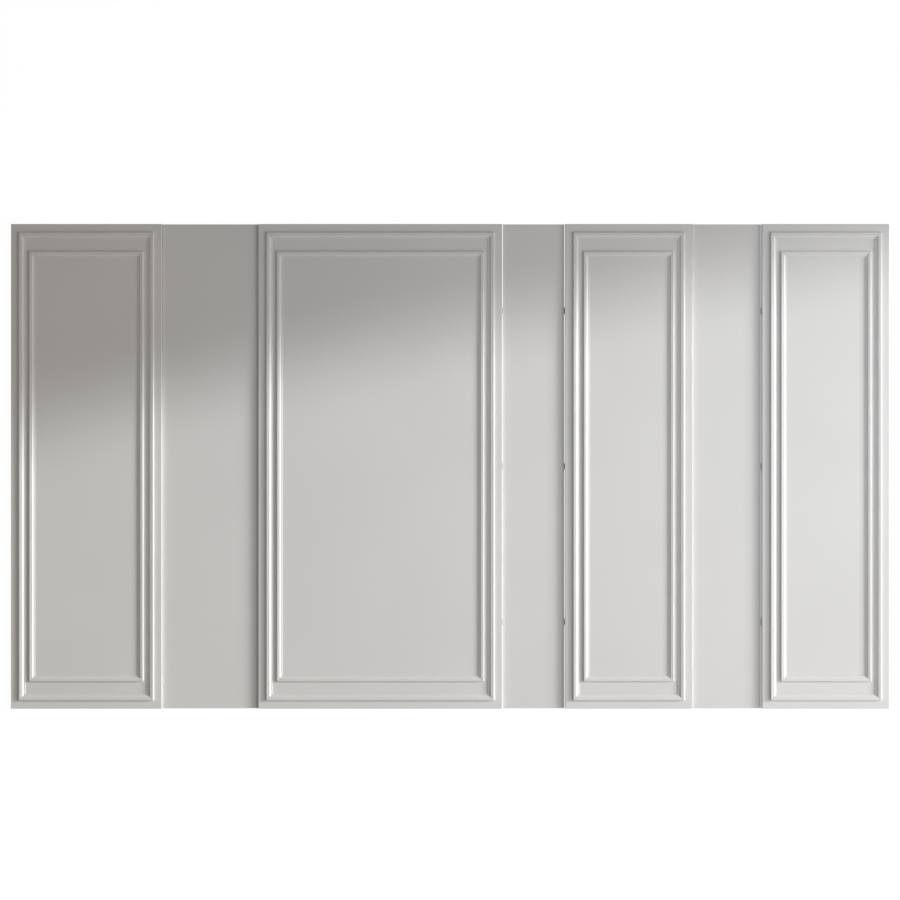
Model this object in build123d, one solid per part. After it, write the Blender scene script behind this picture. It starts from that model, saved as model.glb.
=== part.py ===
from build123d import *
import os

os.makedirs("parts", exist_ok=True)

# A painted wall panel lying on its back: X across, Y up the wall, face towards +Z, back at Z = 0.
# Seven boards stand side by side. The framed ones carry two mouldings, one inside the other.

# Boards
panel_height = 2800.0
wide_joint = 5.0
middle_joint = 3.0
tight_joint = 2.0
framed_thickness = 25.0
plain_thickness = 12.0
edge_round = 2.0
framed_1_width = 872.0
plain_2_width = 552.0
framed_3_width = 1409.0
plain_4_width = 353.0
framed_5_width = 735.0
plain_6_width = 396.0
framed_7_width = 734.0

# Frames on the framed boards
frame_margin_sides = 47.0
frame_margin_ends = 49.0
inner_offset_sides = 60.0
inner_offset_ends = 110.0
mitre_gap = 0.6

# Moulding section, at the size of the outer frame, from its outer edge inward
outer_moulding_width = 36.0
inner_moulding_width = 32.0
moulding_height = 9.0
bead_width = 10.0
bead_round = 2.5
bead_fall_round = 2.5
groove_at = 12.5
groove_depth = 1.3
groove_round = 0.8
ridge_at = 15.0
ridge_drop = 0.3
ridge_round = 2.5
brow_at = 18.5
brow_drop = 0.8
brow_round = 6.0
toe_width = 7.5
toe_height = 3.0
toe_round = 5.0
lip_height = 2.6
lip_round = 0.8

# Loose tongues in stopped grooves, hidden between the edges of neighbouring boards
tongue_reach = 17.5
tongue_length = 36.0
tongue_thickness = 4.0
tongue_count = 3
tongue_end_distance = 500.0
groove_spare_depth = 1.5

# Boards from left to right: name, width, framed or plain
boards = [
    ("board_1_framed", framed_1_width, True),
    ("board_2_plain", plain_2_width, False),
    ("board_3_framed", framed_3_width, True),
    ("board_4_plain", plain_4_width, False),
    ("board_5_framed", framed_5_width, True),
    ("board_6_plain", plain_6_width, False),
    ("board_7_framed", framed_7_width, True),
]

# The open joint on the right of each board but the last
joints = [tight_joint, middle_joint, wide_joint, wide_joint, middle_joint, wide_joint]
panel_width = sum(width for _, width, _ in boards) + sum(joints)


def board_centres():
    """The X of each board's middle, with the open joints between neighbours."""
    centres = []
    left = -panel_width / 2
    for (_, width, _), joint in zip(boards, joints + [0]):
        centres.append(left + width / 2)
        left += width + joint
    return centres


def tongue_rows():
    """The Y of each tongue of a joint, evenly spread between the two end distances."""
    span = panel_height - 2 * tongue_end_distance
    step = span / (tongue_count - 1)
    return [-span / 2 + i * step for i in range(tongue_count)]


def flat_bar(reach, x, y):
    """A bar with a tongue's section, reaching to both sides of x, in the middle of a plain board's edge."""
    return Pos(x, y, plain_thickness / 2) * Box(2 * reach, tongue_length, tongue_thickness)


def board(width, thickness, x, left_joint, right_joint):
    """A flat board with eased front edges and a stopped groove for each tongue in its jointed edges."""
    blank = Pos(x, 0, thickness / 2) * Box(width, panel_height, thickness)
    body = fillet(blank.faces().sort_by(Axis.Z)[-1].edges(), edge_round)
    edges = []
    if left_joint:
        edges.append(x - width / 2)
    if right_joint:
        edges.append(x + width / 2)
    for edge in edges:
        for y in tongue_rows():
            body -= flat_bar(tongue_reach + groove_spare_depth, edge, y)
    return body


def moulding_section():
    """The section as a closed face: bead, groove, ridge and sloping toe, its foot on Y = 0."""
    width = outer_moulding_width
    top = moulding_height
    corners = [
        (0, 0),
        (0, top),
        (bead_width, top),
        (groove_at, top - groove_depth),
        (ridge_at, top - ridge_drop),
        (brow_at, top - brow_drop),
        (width - toe_width, toe_height),
        (width, lip_height),
        (width, 0),
    ]
    rounds = [bead_round, bead_fall_round, groove_round, ridge_round, brow_round, toe_round, lip_round]
    outline = FilletPolyline(*corners, radius=rounds)
    return make_face(outline + Line(corners[-1], corners[0]))


def mitred_length(section, width, length):
    """A length of moulding along X, outer edge on Y = 0 and inner edge towards +Y, mitred at 45 degrees."""
    end_plane = Plane(origin=(-length / 2, 0, 0), x_dir=(0, 1, 0), z_dir=(1, 0, 0))
    bar = extrude(end_plane * section, amount=length)
    half = length / 2 - mitre_gap / 2 ** 0.5
    outline = Polyline((-half, 0), (half, 0), (half - width, width), (width - half, width), close=True)
    return bar & extrude(make_face(outline), amount=moulding_height)


def frame(x, z, width, height, section, moulding_width):
    """Four mitred lengths round a rectangle, as a dictionary from the side's name to its solid."""
    sides = {}
    for side, angle, length, reach in (
        ("bottom", 0, width, height),
        ("right", 90, height, width),
        ("top", 180, width, height),
        ("left", 270, height, width),
    ):
        piece = mitred_length(section, moulding_width, length)
        sides[side] = Pos(x, 0, z) * Rot(0, 0, angle) * Pos(0, -reach / 2, 0) * piece
    return sides


def joint_tongues(x, joint):
    """The tongues of one joint, from board to board across the open joint whose middle is x."""
    return Compound([flat_bar(joint / 2 + tongue_reach, x, y) for y in tongue_rows()])


# The outer moulding, and the same section run smaller for the inner one
outer_section = moulding_section()
inner_section = scale(outer_section, by=inner_moulding_width / outer_moulding_width)

parts = {}
centres = board_centres()
for number, (name, width, framed) in enumerate(boards):
    x = centres[number]
    thickness = framed_thickness if framed else plain_thickness
    has_right_neighbour = number < len(boards) - 1
    parts[name] = board(width, thickness, x, number > 0, has_right_neighbour)
    if has_right_neighbour:
        joint = joints[number]
        joint_middle = x + width / 2 + joint / 2
        parts[f"tongues_joint_{number + 1}"] = joint_tongues(joint_middle, joint)
    if framed:
        outer_width = width - 2 * frame_margin_sides
        outer_height = panel_height - 2 * frame_margin_ends
        inner_width = outer_width - 2 * inner_offset_sides
        inner_height = outer_height - 2 * inner_offset_ends
        outer = frame(x, thickness, outer_width, outer_height, outer_section, outer_moulding_width)
        inner = frame(x, thickness, inner_width, inner_height, inner_section, inner_moulding_width)
        for side in outer:
            parts[f"frame_{number + 1}_outer_{side}"] = outer[side]
            parts[f"frame_{number + 1}_inner_{side}"] = inner[side]

for name, solid in parts.items():
    export_step(solid, f"parts/{name}.step")
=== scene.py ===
import math

import bpy
from bpy.props import FloatProperty, FloatVectorProperty, PointerProperty
from bpy.types import Operator, Panel, PropertyGroup
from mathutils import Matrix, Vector


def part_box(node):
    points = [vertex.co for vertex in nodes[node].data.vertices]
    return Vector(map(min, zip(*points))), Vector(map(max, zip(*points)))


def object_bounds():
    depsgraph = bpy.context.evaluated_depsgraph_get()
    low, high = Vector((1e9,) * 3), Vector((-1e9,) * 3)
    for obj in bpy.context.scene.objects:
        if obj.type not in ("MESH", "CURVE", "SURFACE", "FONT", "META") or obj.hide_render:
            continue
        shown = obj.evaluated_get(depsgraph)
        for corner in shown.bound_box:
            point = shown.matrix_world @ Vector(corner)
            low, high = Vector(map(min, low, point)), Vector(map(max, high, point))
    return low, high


bl_info = {
    "name": "Framed wall panel",
    "version": (1, 0, 0),
    "blender": (4, 5, 0),
    "location": "3D View > Sidebar > Wall Panel",
    "description": "Paints a framed fibreboard wall panel and sets its stage",
    "category": "Object",
}

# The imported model, and its box before anything is added
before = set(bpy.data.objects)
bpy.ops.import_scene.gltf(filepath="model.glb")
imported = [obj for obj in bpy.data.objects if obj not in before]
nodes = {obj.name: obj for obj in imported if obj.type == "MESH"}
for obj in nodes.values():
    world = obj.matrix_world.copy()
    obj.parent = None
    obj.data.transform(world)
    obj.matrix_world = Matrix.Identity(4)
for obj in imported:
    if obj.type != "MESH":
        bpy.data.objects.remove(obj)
CAD_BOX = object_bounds()

# Names of the carried-over pieces
BOARDS = sorted(name for name in nodes if name.startswith("board_"))
LEVEL_MOULDINGS = sorted(name for name in nodes if name.endswith(("_top", "_bottom")))
UPRIGHT_MOULDINGS = sorted(name for name in nodes if name.endswith(("_left", "_right")))
TONGUES = sorted(name for name in nodes if name.startswith("tongues_"))

# The framed boards' face, which the camera's distance is measured from
FACE_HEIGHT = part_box("board_1_framed")[1].z
PANEL_LOW, PANEL_HIGH = CAD_BOX

# The photograph's frame, and where the panel's middle lies in it, in its pixels
PHOTO_SIZE = 900.0
PHOTO_PANEL_WIDTH = 878.42
PHOTO_PANEL_MIDDLE = (450.12, 466.37)

# The camera: its sensor's width, in millimetres, and how far it sees, in metres
SENSOR_WIDTH = 36.0
CAMERA_CLIP_END = 200.0

# The floor, a hair below the boards' backs so that the two surfaces stay apart
FLOOR_SIZE = 120.0
FLOOR_GAP = 0.0002

# Colours of the floor, of what looks white, and of the even light from all round
FLOOR_COLOUR = (0.8, 0.8, 0.8)
WHITE = (1.0, 1.0, 1.0)
FILL_COLOUR = (1.0, 0.955, 0.915)

# The softboxes: width and height, colour, place, and the point that each faces
NEAR_SOFTBOX = ((1.6, 2.4), (0.72, 0.86, 1.0), (3.2, 0.3, 3.8), (-1.0, 0, 0))
FAR_SOFTBOX = ((8.0, 8.0), (1.0, 1.0, 0.99), (13.0, -5.5, 6.0), (0.5, 0, 0))

# The beams: how steeply each comes down and how wide its cone is, in degrees, the soft share of
# the cone, the radius of its source and its colour
BEAM_ANGLES = (8.0, 9.6, 11.2, 13.0, 15.0, 17.5)
BEAM_CONE = 5.0
BEAM_BLEND = 0.1
BEAM_SOURCE_RADIUS = 0.3
BEAM_COLOUR = (0.955, 0.99, 1.0)

# The levels of its noise between which each pattern turns from one look into the other
CLOUD_TURN = (0.35, 0.65)
FLECK_TURN = (0.42, 0.62)
PATCH_TURN = (0.3, 0.7)
SPECKLE_TURN = (0.55, 0.35)

# Tones of the flecks and patches of the fibreboard, and of the grain and the glue of the plywood,
# as shares of their own material's colour
FLECK_TONE = 0.72
PATCH_TONE = 1.12
GRAIN_TONE = 0.7
GLUE_TONE = 0.35

# How strongly the patches show, and the glue line's share of a ply
PATCH_SHARE = 0.5
GLUE_SHARE = 0.12

# How many times finer than the patches the paint mist's edge is, and than the flecks its speckle
# and the edges' grain are
MIST_FINENESS = 4
SPECKLE_FINENESS = 4
GRAIN_FINENESS = 3

# How much of the bare board's added dullness the painted edges have
EDGE_DULLNESS = 0.4

# A face points down, and not sideways, where its normal dips by more than this
DOWNWARD = 0.5

# Scales of the coordinates along a moulding and along the plywood's grain, which draw the marks
# and the grain out that way
MARK_SCALE = 0.02
PLY_SCALE = 0.08

# From one shader node to the next in the node editor
NODE_SPACING = 190


class PaintSettings(PropertyGroup):
    """The satin paint on the boards and the mouldings."""

    colour: FloatVectorProperty(
        name="Colour", description="Warm light grey of the paint", subtype="COLOR", size=3,
        min=0.0, max=1.0, default=(0.70, 0.672, 0.648),
    )
    shade: FloatProperty(
        name="Shade", description="How much the slow, cloudy shade darkens the paint at most",
        subtype="FACTOR", min=0.0, max=1.0, default=0.02,
    )
    roughness: FloatProperty(
        name="Roughness", description="Dullness of the satin paint", subtype="FACTOR",
        min=0.0, max=1.0, default=0.62,
    )
    cloud_size: FloatProperty(
        name="Cloud size", description="Width of one cloud of that shade", subtype="DISTANCE",
        unit="LENGTH", default=0.7,
    )
    peel_size: FloatProperty(
        name="Peel size", description="Width of one dimple of the sprayed paint's skin",
        subtype="DISTANCE", unit="LENGTH", default=0.0022,
    )
    peel_depth: FloatProperty(
        name="Peel depth", description="Depth of the dimples", subtype="DISTANCE",
        unit="LENGTH", default=0.000008,
    )
    mark_width: FloatProperty(
        name="Machine mark width", description="Width of one mark along a moulding",
        subtype="DISTANCE", unit="LENGTH", default=0.0012,
    )
    mark_depth: FloatProperty(
        name="Machine mark depth", description="Depth of the marks along a moulding",
        subtype="DISTANCE", unit="LENGTH", default=0.000003,
    )
    overspray: FloatProperty(
        name="Overspray", description="How far paint mist reaches round the edges onto the back",
        subtype="DISTANCE", unit="LENGTH", default=0.018,
    )


class FibreboardSettings(PropertyGroup):
    """The bare fibreboard of the boards' backs, and its grain on their painted edges."""

    colour: FloatVectorProperty(
        name="Colour", description="Brown of the pressed fibres", subtype="COLOR", size=3,
        min=0.0, max=1.0, default=(0.36, 0.235, 0.135),
    )
    roughness: FloatProperty(
        name="Roughness", description="Dullness of the bare board", subtype="FACTOR",
        min=0.0, max=1.0, default=0.86,
    )
    fleck_size: FloatProperty(
        name="Fleck size", description="Length of one fleck of fibre", subtype="DISTANCE",
        unit="LENGTH", default=0.003,
    )
    patch_size: FloatProperty(
        name="Patch size", description="Width of one paler or browner patch", subtype="DISTANCE",
        unit="LENGTH", default=0.12,
    )
    edge_grain: FloatProperty(
        name="Edge grain", description="Depth of the sawn edges' grain under the paint",
        subtype="DISTANCE", unit="LENGTH", default=0.00006,
    )
    back_grain: FloatProperty(
        name="Back grain", description="Depth of the bare back's matted fibres",
        subtype="DISTANCE", unit="LENGTH", default=0.00005,
    )


class PlywoodSettings(PropertyGroup):
    """The thin plywood of the hidden tongues."""

    colour: FloatVectorProperty(
        name="Colour", description="Pale birch of the outer plies", subtype="COLOR", size=3,
        min=0.0, max=1.0, default=(0.56, 0.36, 0.19),
    )
    roughness: FloatProperty(
        name="Roughness", description="Dullness of the wood", subtype="FACTOR", min=0.0, max=1.0,
        default=0.7,
    )
    ply: FloatProperty(
        name="Ply", description="Thickness of one ply", subtype="DISTANCE", unit="LENGTH",
        default=0.0013,
    )
    grain_width: FloatProperty(
        name="Grain width", description="Width of one line of the grain", subtype="DISTANCE",
        unit="LENGTH", default=0.0012,
    )
    grain_depth: FloatProperty(
        name="Grain depth", description="Depth of the grain", subtype="DISTANCE", unit="LENGTH",
        default=0.00005,
    )
    paint_reach: FloatProperty(
        name="Paint reach", description="How far from a joint's middle its paint reaches",
        subtype="DISTANCE", unit="LENGTH", default=0.003,
    )


class StageSettings(PropertyGroup):
    """The camera's distance, the lamps' levels and the floor's look."""

    camera_distance: FloatProperty(
        name="Camera distance", description="From the camera to the framed boards' face",
        subtype="DISTANCE", unit="LENGTH", default=8.1,
    )
    fill: FloatProperty(
        name="Fill", description="Level of the even light from all round", min=0.0, default=0.235,
    )
    near_power: FloatProperty(
        name="Near softbox", description="Power of the softbox above the right end",
        subtype="POWER", unit="POWER", min=0.0, default=45.0,
    )
    far_power: FloatProperty(
        name="Far softbox", description="Power of the big softbox at the lower right",
        subtype="POWER", unit="POWER", min=0.0, default=1200.0,
    )
    beam_power: FloatProperty(
        name="Low beams", description="Power of each of the low beams from far on the right",
        subtype="POWER", unit="POWER", min=0.0, default=73000.0,
    )
    beam_distance: FloatProperty(
        name="Beam distance", description="From the panel's middle to the beams",
        subtype="DISTANCE", unit="LENGTH", default=80.0,
    )
    beam_edge: FloatProperty(
        name="Beam edge",
        description="Height at which the beams' soft upper edge crosses the middle",
        subtype="DISTANCE", unit="LENGTH", default=0.69,
    )
    beam_rise: FloatProperty(
        name="Beam rise", description="Rise of that edge towards the right, per metre",
        default=0.22,
    )
    floor_white: FloatProperty(
        name="Floor white", description="Share of the floor's look that is plain white",
        subtype="FACTOR", min=0.0, max=1.0, default=0.85,
    )
    floor_glow: FloatProperty(
        name="Floor glow",
        description="Level of that plain white, so that the whole floor looks white",
        min=0.0, default=1.12,
    )


def settings(name):
    """The settings group of that name on the scene."""
    return getattr(bpy.context.scene, "wall_panel_" + name)


class Nodes:
    """The node tree of a material or of the world, filled from left to right."""

    def __init__(self, owner):
        owner.use_nodes = True
        self.owner = owner
        self.tree = owner.node_tree
        self.tree.nodes.clear()
        self.column = 0

    def add(self, kind, **values):
        """A node with its properties set, and its inputs where the value's name is an input's."""
        node = self.tree.nodes.new(kind)
        node.location = (self.column * NODE_SPACING, 0)
        self.column += 1
        for key, value in values.items():
            label = key.replace("_", " ")
            if label in node.inputs:
                self.feed(node.inputs[label], value)
            else:
                setattr(node, key, value)
        return node

    def feed(self, socket, value):
        """Links an output to the socket, or sets the socket's own value."""
        if isinstance(value, bpy.types.NodeSocket):
            self.tree.links.new(value, socket)
        elif socket.type == "RGBA" and len(value) == 3:
            socket.default_value = (*value, 1.0)
        else:
            socket.default_value = value

    def math(self, operation, first, second=0.0):
        """A Math node's result."""
        node = self.add("ShaderNodeMath", operation=operation)
        self.feed(node.inputs[0], first)
        self.feed(node.inputs[1], second)
        return node.outputs[0]

    def mix(self, factor, first, second):
        """Two colours mixed by a factor."""
        node = self.add("ShaderNodeMix", data_type="RGBA")
        self.feed(node.inputs["Factor"], factor)
        self.feed(node.inputs["A"], first)
        self.feed(node.inputs["B"], second)
        return node.outputs["Result"]

    def ramp(self, value, low, high):
        """0 at low and 1 at high, smooth between them, whichever of the two is the larger."""
        node = self.add("ShaderNodeMapRange", interpolation_type="SMOOTHSTEP")
        self.feed(node.inputs["Value"], value)
        self.feed(node.inputs["From Min"], low)
        self.feed(node.inputs["From Max"], high)
        return node.outputs["Result"]

    def stretched(self, vector, scale):
        """Coordinates times a scale, which draws a pattern out where the scale is under 1."""
        return self.add("ShaderNodeMapping", Vector=vector, Scale=scale).outputs["Vector"]

    def noise(self, vector, size, detail=2.0):
        """A noise pattern whose cells are size wide, in metres."""
        node = self.add("ShaderNodeTexNoise", Vector=vector, Scale=1.0 / size, Detail=detail)
        return node.outputs["Fac"]

    def bump(self, height, distance, normal=None):
        """A bump of that depth, on top of another where one is given."""
        node = self.add("ShaderNodeBump", Height=height, Distance=distance)
        if normal is not None:
            self.feed(node.inputs["Normal"], normal)
        return node.outputs["Normal"]

    def place(self):
        """Object coordinates, and their three parts."""
        vector = self.add("ShaderNodeTexCoord").outputs["Object"]
        parts = self.add("ShaderNodeSeparateXYZ", Vector=vector).outputs
        return vector, parts

    def seen(self):
        """1 where the background is looked at, straight or in a glossy or clear surface, else 0."""
        path = self.add("ShaderNodeLightPath").outputs
        straight_or_glossy = self.math("MAXIMUM", path["Is Camera Ray"], path["Is Glossy Ray"])
        return self.math("MAXIMUM", straight_or_glossy, path["Is Transmission Ray"])

    def blend(self, factor, first, second):
        """Two shaders mixed by a factor."""
        node = self.add("ShaderNodeMixShader")
        for socket, value in zip(node.inputs, (factor, first, second)):
            self.feed(socket, value)
        return node.outputs["Shader"]

    def surface(self, colour, normal, roughness):
        """The finished material, with that colour, bump and roughness."""
        shader = self.add("ShaderNodeBsdfPrincipled", Base_Color=colour, Normal=normal,
                          Roughness=roughness)
        return self.finish(shader.outputs["BSDF"])

    def finish(self, shader, kind="ShaderNodeOutputMaterial"):
        """Joins the shader to the output and returns the tree's owner."""
        self.tree.links.new(shader, self.add(kind).inputs["Surface"])
        return self.owner


def give(names, material):
    """The material in the first and only slot of each named node."""
    for name in names:
        mesh = nodes[name].data
        mesh.materials.clear()
        mesh.materials.append(material)


def toned(colour, tone):
    """The colour with each channel times the tone."""
    return tuple(channel * tone for channel in colour)


def satin_coat(n, vector):
    """The paint's colour, in slow clouds, and the dimpled skin of its sprayed surface."""
    paint = settings("paint")
    cloud = n.noise(vector, paint.cloud_size)
    darker = toned(paint.colour, 1 - paint.shade)
    coat = n.mix(n.ramp(cloud, *CLOUD_TURN), darker, tuple(paint.colour))
    peel = n.noise(vector, paint.peel_size, detail=1.0)
    return coat, n.bump(peel, paint.peel_depth)


def pressed_fibre(n, vector):
    """The bare fibreboard's colour, fine flecks in paler and browner patches, and the flecks."""
    bare = settings("fibreboard")
    brown = tuple(bare.colour)
    fleck = n.noise(vector, bare.fleck_size, detail=3.0)
    patch = n.noise(vector, bare.patch_size)
    flecked = n.mix(n.ramp(fleck, *FLECK_TURN), brown, toned(brown, FLECK_TONE))
    paler = n.math("MULTIPLY", n.ramp(patch, *PATCH_TURN), PATCH_SHARE)
    return n.mix(paler, flecked, toned(brown, PATCH_TONE)), fleck


def painted_board(name):
    """Satin paint in front and on the edges, and a bare back with paint mist along its border."""
    paint = settings("paint")
    bare = settings("fibreboard")
    low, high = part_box(name)
    n = Nodes(bpy.data.materials.new("satin_paint_" + name))
    vector, (x, y, _) = n.place()
    coat, skin = satin_coat(n, vector)
    brown, fleck = pressed_fibre(n, vector)

    # How near a point of the back is to the board's border
    to_sides = n.math("MINIMUM", n.math("SUBTRACT", x, low.x), n.math("SUBTRACT", high.x, x))
    to_ends = n.math("MINIMUM", n.math("SUBTRACT", y, low.y), n.math("SUBTRACT", high.y, y))

    # Noise is a half on average, so twice the overspray makes that the mist's mean width
    edge = n.noise(vector, bare.patch_size / MIST_FINENESS, detail=3.0)
    ragged = n.math("MULTIPLY", edge, paint.overspray * 2)
    mist = n.ramp(n.math("MINIMUM", to_sides, to_ends), ragged, 0.0)
    droplets = n.noise(vector, bare.fleck_size / SPECKLE_FINENESS, detail=1.0)
    misted = n.math("MULTIPLY", mist, n.ramp(droplets, *SPECKLE_TURN))
    back = n.mix(misted, brown, coat)

    # The paint's skin all over, with sawn grain on the edges and matted fibres on the back
    normal = n.add("ShaderNodeNewGeometry").outputs["True Normal"]
    upward = n.add("ShaderNodeSeparateXYZ", Vector=normal).outputs["Z"]
    down = n.math("LESS_THAN", upward, -DOWNWARD)
    upright = n.math("LESS_THAN", n.math("ABSOLUTE", upward), DOWNWARD)
    grain = n.noise(vector, bare.fleck_size / GRAIN_FINENESS)
    sawn = n.bump(n.math("MULTIPLY", grain, upright), bare.edge_grain, skin)
    matted = n.bump(n.math("MULTIPLY", fleck, down), bare.back_grain, sawn)
    dull = n.math("MAXIMUM", down, n.math("MULTIPLY", upright, EDGE_DULLNESS))
    rougher = n.math("MULTIPLY", dull, bare.roughness - paint.roughness)
    return n.surface(n.mix(down, coat, back), matted, n.math("ADD", rougher, paint.roughness))


def painted_moulding(direction, scale):
    """The same paint on a moulding, with faint marks of the moulding machine along its run."""
    paint = settings("paint")
    n = Nodes(bpy.data.materials.new("satin_paint_moulding_" + direction))
    vector, _ = n.place()
    coat, skin = satin_coat(n, vector)
    along = n.stretched(vector, scale)
    marks = n.bump(n.noise(along, paint.mark_width), paint.mark_depth, skin)
    return n.surface(coat, marks, paint.roughness)


def tongue_plywood(name):
    """Thin plywood, with the boards' paint on the strip that the open joint shows."""
    paint = settings("paint")
    ply = settings("plywood")
    low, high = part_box(name)
    n = Nodes(bpy.data.materials.new("plywood_" + name))
    vector, (x, _, z) = n.place()
    along = n.stretched(vector, (PLY_SCALE, 1.0, 1.0))
    grain = n.noise(along, ply.grain_width, detail=4.0)
    band = n.math("PINGPONG", n.math("SUBTRACT", z, low.z), ply.ply / 2)
    past_glue = n.ramp(band, 0.0, ply.ply * GLUE_SHARE)
    wood = n.mix(grain, tuple(ply.colour), toned(ply.colour, GRAIN_TONE))
    layered = n.mix(past_glue, toned(ply.colour, GLUE_TONE), wood)
    middle = (low.x + high.x) / 2
    from_middle = n.math("ABSOLUTE", n.math("SUBTRACT", x, middle))
    in_joint = n.math("LESS_THAN", from_middle, ply.paint_reach)
    colour = n.mix(in_joint, layered, tuple(paint.colour))
    return n.surface(colour, n.bump(grain, ply.grain_depth), ply.roughness)


def white_floor():
    """A floor that looks white and keeps a soft shadow of the panel."""
    stage = settings("stage")
    n = Nodes(bpy.data.materials.new("white_floor"))
    matt = n.add("ShaderNodeBsdfDiffuse", Color=FLOOR_COLOUR).outputs[0]
    white = n.add("ShaderNodeEmission", Color=WHITE, Strength=stage.floor_glow).outputs[0]
    return n.finish(n.blend(n.math("MULTIPLY", n.seen(), stage.floor_white), matt, white))


def even_light():
    """A warm, even light from all round, which looks white itself."""
    stage = settings("stage")
    n = Nodes(bpy.data.worlds.new("even_light"))
    warm = n.add("ShaderNodeBackground", Color=FILL_COLOUR, Strength=stage.fill).outputs[0]
    white = n.add("ShaderNodeBackground", Color=WHITE, Strength=1.0).outputs[0]
    return n.finish(n.blend(n.seen(), warm, white), "ShaderNodeOutputWorld")


def aimed(name, lamp, place, target):
    """Hangs a lamp at a place, shining at a target."""
    hung = bpy.data.objects.new(name, lamp)
    bpy.context.scene.collection.objects.link(hung)
    hung.location = place
    direction = Vector(target) - Vector(place)
    hung.rotation_euler = direction.to_track_quat("-Z", "Y").to_euler()


def softbox(name, power, size, colour, place, target):
    """Hangs a rectangular soft lamp at a place, facing a target."""
    lamp = bpy.data.lights.new(name, "AREA")
    lamp.shape = "RECTANGLE"
    lamp.size, lamp.size_y = size
    lamp.energy = power
    lamp.color = colour
    aimed(name, lamp, place, target)


def beam(name, power, angle):
    """Aims a beam from far on the right, its soft upper edge along the stage's beam edge."""
    stage = settings("stage")
    distance = stage.beam_distance
    lamp = bpy.data.lights.new(name, "SPOT")
    lamp.energy = power
    lamp.color = BEAM_COLOUR
    lamp.shadow_soft_size = BEAM_SOURCE_RADIUS
    lamp.spot_size = math.radians(BEAM_CONE)
    lamp.spot_blend = BEAM_BLEND

    # The middle of the cone's fade lies a little inside its rim
    y = stage.beam_edge + stage.beam_rise * distance
    to_fade = math.radians(BEAM_CONE / 2) * (1 + math.sqrt(1 - BEAM_BLEND)) / 2
    target_y = y - distance * math.tan(math.atan(stage.beam_rise) + to_fade)
    height = distance * math.tan(math.radians(angle))
    aimed(name, lamp, (distance, y, height), (0, target_y, 0))


class WALLPANEL_OT_paint_boards(Operator):
    """Give the seven boards their paint, and their bare back"""

    bl_idname = "wall_panel.paint_boards"
    bl_label = "Paint the boards"

    def execute(self, context):
        for name in BOARDS:
            give([name], painted_board(name))
        return {"FINISHED"}


class WALLPANEL_OT_paint_mouldings(Operator):
    """Give the lengths of moulding their paint"""

    bl_idname = "wall_panel.paint_mouldings"
    bl_label = "Paint the mouldings"

    def execute(self, context):
        give(LEVEL_MOULDINGS, painted_moulding("level", (MARK_SCALE, 1.0, 1.0)))
        give(UPRIGHT_MOULDINGS, painted_moulding("upright", (1.0, MARK_SCALE, 1.0)))
        return {"FINISHED"}


class WALLPANEL_OT_finish_tongues(Operator):
    """Give the tongues in the joints their plywood"""

    bl_idname = "wall_panel.finish_tongues"
    bl_label = "Finish the tongues"

    def execute(self, context):
        for name in TONGUES:
            give([name], tongue_plywood(name))
        return {"FINISHED"}


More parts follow.
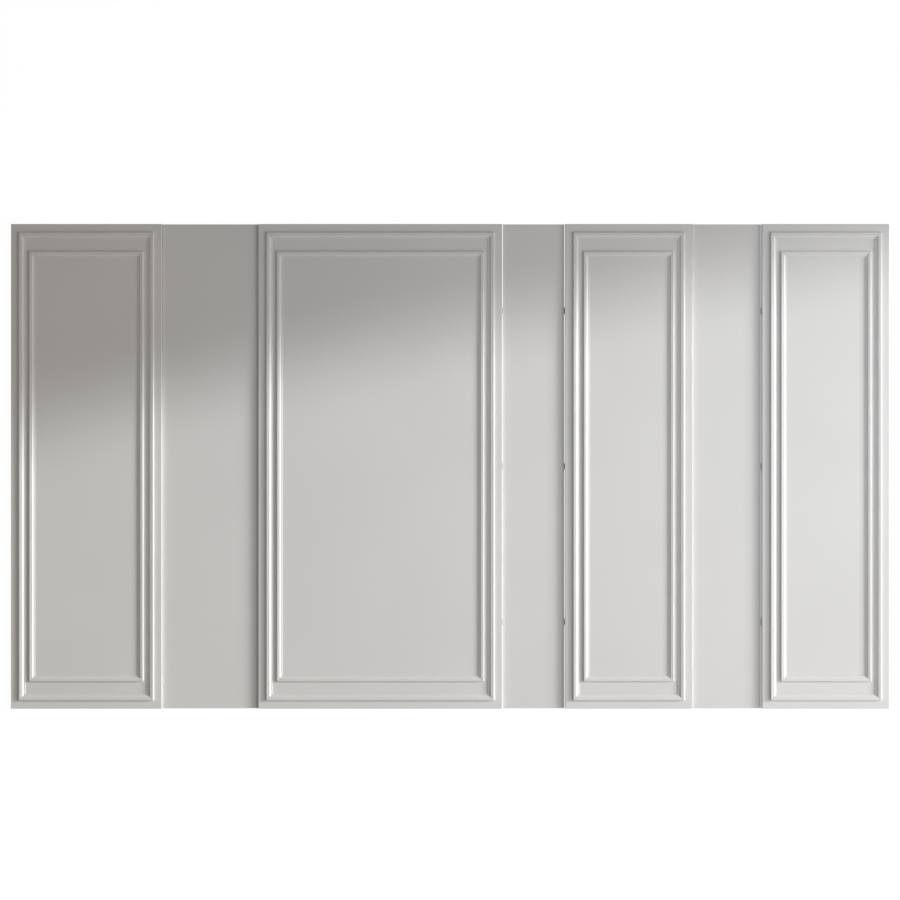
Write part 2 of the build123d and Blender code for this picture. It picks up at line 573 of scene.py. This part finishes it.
class WALLPANEL_OT_set_stage(Operator):
    """Lay the floor, hang the lamps and place the camera over the panel"""

    bl_idname = "wall_panel.set_stage"
    bl_label = "Set the stage"

    def execute(self, context):
        self.lay_floor()
        self.hang_lamps()
        self.place_camera()
        return {"FINISHED"}

    def lay_floor(self):
        """A wide plain floor just under the panel's back."""
        bpy.ops.object.select_all(action="DESELECT")
        bpy.ops.mesh.primitive_plane_add(size=FLOOR_SIZE, location=(0, 0, PANEL_LOW.z - FLOOR_GAP))
        floor = bpy.context.object
        floor.name = "floor"
        floor.data.materials.append(white_floor())

    def hang_lamps(self):
        """Even light from all round, two softboxes on the right, and beams from far off there."""
        stage = settings("stage")
        bpy.context.scene.world = even_light()
        softbox("near_softbox", stage.near_power, *NEAR_SOFTBOX)
        softbox("far_softbox", stage.far_power, *FAR_SOFTBOX)

        # One above the other, so that a step's shadow is soft but the beams' edge is not
        for number, angle in enumerate(BEAM_ANGLES):
            beam(f"low_beam_{number + 1}", stage.beam_power, angle)

    def place_camera(self):
        """Straight above the point that the photograph's middle shows, with +Y up the picture."""
        stage = settings("stage")
        metres_per_pixel = (PANEL_HIGH.x - PANEL_LOW.x) / PHOTO_PANEL_WIDTH
        lens = bpy.data.cameras.new("camera")
        lens.sensor_width = SENSOR_WIDTH
        lens.lens = SENSOR_WIDTH * stage.camera_distance / (PHOTO_SIZE * metres_per_pixel)
        x = (PHOTO_SIZE / 2 - PHOTO_PANEL_MIDDLE[0]) * metres_per_pixel
        y = (PHOTO_PANEL_MIDDLE[1] - PHOTO_SIZE / 2) * metres_per_pixel
        camera = bpy.data.objects.new("camera", lens)
        bpy.context.scene.collection.objects.link(camera)
        camera.location = (x, y, FACE_HEIGHT + stage.camera_distance)
        camera.rotation_euler = (0, 0, 0)
        lens.clip_end = CAMERA_CLIP_END
        bpy.context.scene.camera = camera
        bpy.context.scene.view_settings.view_transform = "Standard"


class WALLPANEL_PT_panel(Panel):
    """The sidebar's list of steps and settings"""

    bl_idname = "WALLPANEL_PT_panel"
    bl_label = "Framed wall panel"
    bl_space_type = "VIEW_3D"
    bl_region_type = "UI"
    bl_category = "Wall Panel"

    def draw(self, context):
        for operator in OPERATORS:
            self.layout.operator(operator.bl_idname)
        for name, group in SETTINGS.items():
            box = self.layout.box()
            box.label(text=name.capitalize())
            for field in group.__annotations__:
                box.prop(settings(name), field)


SETTINGS = {
    "paint": PaintSettings,
    "fibreboard": FibreboardSettings,
    "plywood": PlywoodSettings,
    "stage": StageSettings,
}
OPERATORS = (
    WALLPANEL_OT_paint_boards,
    WALLPANEL_OT_paint_mouldings,
    WALLPANEL_OT_finish_tongues,
    WALLPANEL_OT_set_stage,
)


def register():
    for cls in (*SETTINGS.values(), *OPERATORS, WALLPANEL_PT_panel):
        bpy.utils.register_class(cls)
    for name, group in SETTINGS.items():
        setattr(bpy.types.Scene, "wall_panel_" + name, PointerProperty(type=group))


def unregister():
    for name in SETTINGS:
        delattr(bpy.types.Scene, "wall_panel_" + name)
    for cls in reversed((*SETTINGS.values(), *OPERATORS, WALLPANEL_PT_panel)):
        bpy.utils.unregister_class(cls)


def main():
    """Registers the add-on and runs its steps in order."""
    register()
    for operator in OPERATORS:
        group, step = operator.bl_idname.split(".")
        getattr(getattr(bpy.ops, group), step)()


if __name__ == "__main__":
    main()
